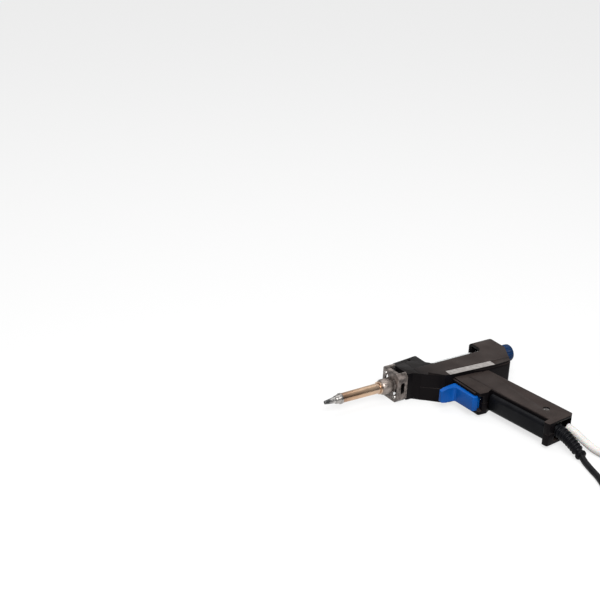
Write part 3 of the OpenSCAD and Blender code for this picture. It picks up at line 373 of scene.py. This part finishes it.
SHARP_ANGLE = math.radians(34)
FLAT_ANGLE = math.radians(0.6)
TINY = 0.01 * MM
SAME_PLACE = 0.002 * MM


def activate(piece):
    """Makes the piece the only selected one, and the active one."""
    bpy.ops.object.select_all(action="DESELECT")
    piece.select_set(True)
    bpy.context.view_layer.objects.active = piece


def apply_modifiers(piece):
    """Turns what the piece's modifiers do into its own mesh."""
    activate(piece)
    for modifier in list(piece.modifiers):
        bpy.ops.object.modifier_apply(modifier=modifier.name)


def space_beside(edge, face):
    """The distance from an edge to the nearest corner of its face that lies across from it."""
    start, stop = (corner.co for corner in edge.verts)
    length = edge.calc_length()
    way = (stop - start) / length
    across = []
    for corner in face.verts:
        along = (corner.co - start).dot(way)
        aside = (corner.co - start - way * along).length
        if aside > TINY and -TINY < along < length + TINY:
            across.append(aside)
    return min(across, default=1.0)


def far_from(edge, places, distance):
    """True if no place lies nearer to the edge than distance."""
    start, stop = (corner.co for corner in edge.verts)
    for place in places:
        along = intersect_point_line(place, start, stop)[1]
        if (place - start.lerp(stop, min(max(along, 0.0), 1.0))).length < distance:
            return False
    return True


def pick_edges(mesh, size, spoilt):
    """Selects the convex edges that are sharp and have room for a round of that size on both sides."""
    room, clear = 2.1 * size, 1.5 * size
    for edge in mesh.edges:
        edge.select_set(len(edge.link_faces) == 2
                        and edge.calc_length() > TINY
                        and edge.calc_face_angle_signed(0.0) > SHARP_ANGLE
                        and min(space_beside(edge, face) for face in edge.link_faces) > room
                        and far_from(edge, spoilt, clear))


def spoilt_places(piece):
    """The corners of the faces that overlap themselves when they are cut into triangles."""
    fold_area = 0.02 * MM * MM
    mesh = bmesh.new()
    mesh.from_mesh(piece.data)
    mesh.normal_update()
    number = mesh.faces.layers.int.new("number")
    whole, corners = [], []
    for face in mesh.faces:
        face[number] = len(whole)
        whole.append(face.calc_area())
        corners.append([corner.co.copy() for corner in face.verts])
    bmesh.ops.triangulate(mesh, faces=mesh.faces[:])
    cut = [0.0] * len(whole)
    for face in mesh.faces:
        cut[face[number]] += face.calc_area()
    mesh.free()
    return [corner for before, after, face in zip(whole, cut, corners)
            if after - before > fold_area for corner in face]


def rounded_mesh(piece, source, size, spoilt):
    """Gives the piece the source's mesh with its picked edges rounded."""
    piece.data = source.data.copy()
    activate(piece)
    bpy.ops.object.mode_set(mode="EDIT")
    bpy.ops.mesh.select_mode(type="EDGE")
    bpy.ops.mesh.select_all(action="SELECT")
    bpy.ops.mesh.remove_doubles(threshold=SAME_PLACE)
    bpy.ops.mesh.dissolve_limited(angle_limit=FLAT_ANGLE)
    mesh = bmesh.from_edit_mesh(piece.data)
    pick_edges(mesh, size, spoilt)
    bmesh.update_edit_mesh(piece.data)
    bpy.ops.mesh.bevel(offset=size, segments=2, affect="EDGES", clamp_overlap=False, miter_outer="ARC")
    bpy.ops.object.mode_set(mode="OBJECT")


def softened(node, name, size, body, tries=6):
    """A copy of a node whose sharp outer edges have a small round, wherever that leaves clean faces."""
    source = frame["nodes"][node]
    piece = source.copy()
    piece.name = name
    piece.parent = None
    bpy.context.scene.collection.objects.link(piece)
    spoilt = []
    for attempt in range(tries):
        rounded_mesh(piece, source, size, spoilt)
        found = spoilt_places(piece)
        if not found:
            break
        spoilt += found
    piece.data.name = name
    bpy.ops.object.shade_smooth_by_angle(angle=SMOOTH_ANGLE)
    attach(piece, body)
    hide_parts(node)


softened("housing_left", "left_half", 0.45 * MM, "gun")
softened("housing_right", "right_half", 0.45 * MM, "gun")
softened("nose_block", "nose", 0.35 * MM, "gun")
softened("front_bracket", "bracket", 0.25 * MM, "gun")
softened("trigger", "trigger_lever", 0.5 * MM, "trigger_body")
softened("grip_strap", "strap", 0.25 * MM, "gun")
softened("barrel_boss", "boss", 0.25 * MM, "gun")
softened("nozzle_nut", "nut", 0.2 * MM, "gun")
softened("release_knob", "knob", 0.6 * MM, "knob_body")


# Cords, with their sizes in millimetres

CABLE_THICK, HOSE_THICK = 5.6, 7.0
CABLE_MID, CABLE_RADIUS = (146, -268), 32.5
HOSE_MID, HOSE_RADIUS = (217, -206), 38.5
TIE_WIDTH, TIE_THICK = 3.6, 0.45
# A coil lies this high, so that its tie's strap fits under it
COIL_RISE = 0.5
COIL_POINTS = 26
# How many cord widths a turn lies off the coil's radius, and how many its middle lies over the table
LOWER_TURNS = [(0, 1), (0.72, 1), (1.0, 0), (1.72, 0), (2.0, -1)]
CLIMB = [(0, 0.5), (2.7, 0.5), (3.0, 1.5)]


def smooth(a, b, c, d, t):
    """One point of the smooth curve from b to c."""
    return 0.5 * (2 * b + (c - a) * t + (2 * a - 5 * b + 4 * c - d) * t * t
                  + (3 * b - a - 3 * c + d) * t * t * t)


def route(points, steps):
    """A smooth route through points, with steps pieces between neighbours."""
    last = len(points) - 1
    line = [smooth(points[max(i - 1, 0)], points[i], points[i + 1], points[min(i + 2, last)], k / steps)
            for i in range(last) for k in range(steps)]
    return line + [points[-1]]


def eased(keys, t):
    """The value at t between keys of place and value, with soft starts and stops."""
    for (t0, v0), (t1, v1) in zip(keys, keys[1:]):
        if t <= t1:
            f = max(0.0, (t - t0) / (t1 - t0))
            return v0 + (v1 - v0) * f * f * (3 - 2 * f)
    return keys[-1][1]


def wound(mid, radius, thick, first, upper_turns):
    """Turns of a coil, three beside each other below and then above; first is an angle in degrees."""
    steps_out = LOWER_TURNS + upper_turns
    turns = steps_out[-1][0]
    count = round(turns * COIL_POINTS)
    line = []
    for i in range(count + 1):
        t = turns * i / count
        r = radius + thick * eased(steps_out, t)
        angle = math.radians(first + 360 * t)
        line.append(on_table(mid[0] + r * math.cos(angle), mid[1] + r * math.sin(angle),
                             thick * eased(CLIMB, t) + COIL_RISE))
    return line


def tube(name, kind, count, radius, fineness):
    """Curve data for a round tube with closed ends, and its spline."""
    data = bpy.data.curves.new(name, "CURVE")
    data.dimensions = "3D"
    data.bevel_depth = radius * MM
    data.bevel_resolution = fineness
    data.use_fill_caps = True
    spline = data.splines.new(kind)
    points = spline.bezier_points if kind == "BEZIER" else spline.points
    points.add(count - 1)
    return data, points


def cord_piece(name, line, thick, slot):
    """A round cord along a line, as one smooth spline."""
    data, points = tube(name, "BEZIER", len(line), thick / 2, 6)
    for point, place in zip(points, line):
        point.co = place
        point.handle_left_type = point.handle_right_type = "AUTO"
    data.resolution_u = 3
    piece = in_scene(name, data)
    dress(piece, slot)
    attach(piece, "gun")
    return piece


cable_lead = route([on_table(*p) for p in (
    (146.7, -166, 5), (144.6, -173, 3.3), (141.4, -184, 2.8), (137, -197.6, 2.8), (125.2, -222.5, 2.9))], 3)
cable_turns = wound(CABLE_MID, CABLE_RADIUS, CABLE_THICK, first=150,
                    upper_turns=[(3.5, -1), (3.75, 0), (4.5, 0), (4.75, 1), (5.361, 1)])
cable_tail = [on_table(*p) for p in (
    (160, -304.9, 8.2), (168, -305, 7.4), (176, -305.3, 7.2), (184, -305.4, 7.3))]
cable = cord_piece("cable", cable_lead + cable_turns + cable_tail, CABLE_THICK, "cable_rubber")
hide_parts("power_cable", "cable_coil")

hose_lead = route([on_table(*p) for p in (
    (159.3, -133.8, 14), (161.4, -142, 11.4), (163.6, -152, 7.2), (165.6, -163, 4.2), (168, -176, 3.5),
    (169.8, -190, 3.6))], 3)
hose_turns = wound(HOSE_MID, HOSE_RADIUS, HOSE_THICK, first=178,
                   upper_turns=[(3.12, -1), (3.4, 0), (3.6, 0), (3.88, 1), (4.283, 1)])
hose_tail = [on_table(*p) for p in (
    (234, -251.4, 9.9), (243, -251.2, 8.6), (250, -251.1, 7.3), (256, -251.1, 6.93))]
hose = cord_piece("hose", hose_lead + hose_turns + hose_tail, HOSE_THICK, "hose_silicone")
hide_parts("vacuum_hose", "hose_coil")


def relief_profile():
    """Places along the strain relief and its radius there: collars, a tapered sleeve with ribs, a flange."""
    length, first, pitch, rib = 50.0, 11.6, 3.3, 1.7
    collars = [(0, 4.3), (1.4, 4.3), (1.41, 3.8), (5.4, 3.8), (5.41, 5.5), (7.6, 5.5), (7.9, 5.1)]
    flange = [(length - 3.2, 3.7), (length - 2.9, 4.6), (length - 2.5, 4.9), (length - 1.0, 4.9),
              (length - 0.6, 4.6), (length - 0.5, 3.5), (length, 3.3)]
    ribs = []
    place = first
    while place + rib < length - 4:
        share = place / length
        sleeve, ridge = 5.0 - 1.4 * share, 6.3 - 1.5 * share
        ribs += [(place - 0.25, sleeve), (place, ridge - 0.3), (place + 0.3, ridge),
                 (place + rib - 0.3, ridge), (place + rib, ridge - 0.3), (place + rib + 0.25, sleeve)]
        place += pitch
    return collars + ribs + flange


def strain_relief():
    """The sleeve round the cable where it leaves the grip, as one tapered tube along a curve."""
    outside = [on_gun(*p) for p in (
        (147.8, -136, -0.2), (148.2, -144, -1.6), (148.3, -152, -4.2), (147.9, -160, -7.2),
        (146.7, -166, -9))]
    socket, bulkhead, mouth = (in_grip(-18.4, s) for s in (82.6, 86.5, 90))
    line = [socket, bulkhead] + route([mouth] + outside, 8)
    lengths = [0.0]
    for a, b in zip(line, line[1:]):
        lengths.append(lengths[-1] + (b - a).length)
    profile = relief_profile()
    stretch = lengths[-1] / profile[-1][0]
    # The tube is 1 mm in radius, and each point scales that to the profile's radius
    data, points = tube("relief", "POLY", len(profile), 1, 12)
    i = 0
    for point, (place, radius) in zip(points, profile):
        target = min(place * stretch, lengths[-1])
        while i < len(lengths) - 2 and lengths[i + 1] < target:
            i += 1
        spot = line[i].lerp(line[i + 1], (target - lengths[i]) / (lengths[i + 1] - lengths[i]))
        point.co = (*spot, 1)
        point.radius = radius
    piece = in_scene("relief", data)
    dress(piece, "strap_rubber")
    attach(piece, "gun")
    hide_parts("strain_relief")
    return piece


def box(name, sizes, place=(0, 0, 0)):
    """A box in millimetres, for a shape that is worked on further."""
    bpy.ops.mesh.primitive_cube_add(size=1, location=[x * MM for x in place])
    piece = bpy.context.active_object
    piece.name = piece.data.name = name
    piece.scale = [x * MM for x in sizes]
    bpy.ops.object.transform_apply(location=True, rotation=False, scale=True)
    return piece


def strap_loop(name, length, height):
    """The strap alone: a flat box with round corners, opened on both sides and given its thickness."""
    corner = 2.2
    piece = box(name, (length, TIE_WIDTH, height))
    bpy.ops.object.mode_set(mode="EDIT")
    bpy.ops.mesh.select_mode(type="EDGE")
    bpy.ops.mesh.select_all(action="DESELECT")
    mesh = bmesh.from_edit_mesh(piece.data)
    for edge in mesh.edges:
        edge.select_set(abs((edge.verts[0].co - edge.verts[1].co).y) > 0.5 * TIE_WIDTH * MM)
    bmesh.update_edit_mesh(piece.data)
    bpy.ops.mesh.bevel(offset=corner * MM, segments=6, affect="EDGES")
    mesh = bmesh.from_edit_mesh(piece.data)
    for face in mesh.faces:
        face.select_set(abs(face.normal.y) > 0.9)
    bmesh.update_edit_mesh(piece.data)
    bpy.ops.mesh.select_mode(type="FACE")
    bpy.ops.mesh.delete(type="ONLY_FACE")
    bpy.ops.object.mode_set(mode="OBJECT")
    solid = piece.modifiers.new("strap", "SOLIDIFY")
    solid.thickness = TIE_THICK * MM
    solid.offset = 1
    apply_modifiers(piece)
    return piece


def tie_head(aside, up):
    """The tie's small head, with rounded edges."""
    head = box("head", (4.6, TIE_WIDTH + 1.6, 2.4), (aside, 0, up))
    rounds = head.modifiers.new("rounds", "BEVEL")
    rounds.width = 0.5 * MM
    rounds.segments = 3
    apply_modifiers(head)


def coil_tie(name, mid, angle, inner, outer, top):
    """A tie round all turns of a coil, from its inner to its outer radius; angle in degrees."""
    gap_below, gap_above = 0.02, 0.05
    under = TIE_THICK + gap_below
    high = top + gap_above - under
    piece = strap_loop(name, outer - inner, high)
    tie_head(0.12 * (outer - inner), high / 2 + TIE_THICK + 1)
    piece.select_set(True)
    bpy.context.view_layer.objects.active = piece
    bpy.ops.object.join()
    turn = math.radians(angle)
    middle = (inner + outer) / 2
    place = on_table(mid[0] + middle * math.cos(turn), mid[1] + middle * math.sin(turn), under + high / 2)
    piece.data.transform(Matrix.Translation(place) @ Matrix.Rotation(turn, 4, "Z"))
    bpy.ops.object.shade_smooth_by_angle(angle=SMOOTH_ANGLE)
    dress(piece, "insert_plastic")
    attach(piece, "gun")
    return piece


relief = strain_relief()
cable_tie = coil_tie("cable_tie", CABLE_MID, angle=210, inner=24.0, outer=41.0, top=11.7)
hose_tie = coil_tie("hose_tie", HOSE_MID, angle=230, inner=27.9, outer=49.1, top=14.5)


# Floor, backdrop and light

def white_floor():
    """Paper that is white to the camera, to metal and to glass, and dim to all other light."""
    bpy.ops.mesh.primitive_plane_add(size=8, location=(0, 0, 0))
    floor = bpy.context.active_object
    floor.name = "floor"
    material = bpy.data.materials.new("white_floor")
    nodes = Nodes(material)
    nodes.tree.nodes.clear()
    white = nodes.node("ShaderNodeEmission", {"Color": (1, 1, 1, 1), "Strength": 1.0})
    shaded = nodes.node("ShaderNodeBsdfDiffuse", {"Color": (0.86, 0.86, 0.86, 1)})
    paper = nodes.node("ShaderNodeBsdfDiffuse", {"Color": (0.16, 0.155, 0.15, 1)})
    ray = nodes.node("ShaderNodeLightPath").outputs
    seen = nodes.maths("MAXIMUM", ray["Is Camera Ray"], ray["Is Glossy Ray"])
    seen = nodes.maths("MAXIMUM", seen, ray["Is Transmission Ray"])
    glow = 0.72
    lifted = nodes.node("ShaderNodeMixShader", {0: glow, 1: shaded.outputs[0], 2: white.outputs[0]})
    mix = nodes.node("ShaderNodeMixShader", {0: seen, 1: paper.outputs[0], 2: lifted.outputs[0]})
    nodes.node("ShaderNodeOutputMaterial", {"Surface": mix.outputs[0]})
    floor.data.materials.append(material)


def studio_world():
    """A studio that is light above and behind the gun and dim in front of it."""
    bright_side = (0.38, 0.58, 0.72)
    world = bpy.data.worlds.new("studio")
    bpy.context.scene.world = world
    nodes = Nodes(world)
    nodes.tree.nodes.clear()
    way = nodes.node("ShaderNodeTexCoord").outputs["Generated"]
    dim, bright = 0.05, 0.85
    level = nodes.spread(nodes.dot(way, bright_side), dim, bright, -0.1, 0.95)
    room = nodes.node("ShaderNodeBackground", {"Strength": level})
    nodes.node("ShaderNodeOutputWorld", {"Surface": room.outputs[0]})


def soft_box(name, place, size, watts):
    """A wide lamp that faces the part's origin."""
    data = bpy.data.lights.new(name, "AREA")
    data.shape = "RECTANGLE"
    data.size, data.size_y = size
    data.energy = watts
    lamp = in_scene(name, data)
    lamp.location = place
    lamp.rotation_euler = (-Vector(place)).to_track_quat("-Z", "Y").to_euler()


white_floor()
studio_world()
soft_box("front", (-0.45, -0.75, 0.95), size=(0.9, 0.7), watts=20)
soft_box("above", (0.1, 0.3, 1.1), size=(0.8, 0.6), watts=3)
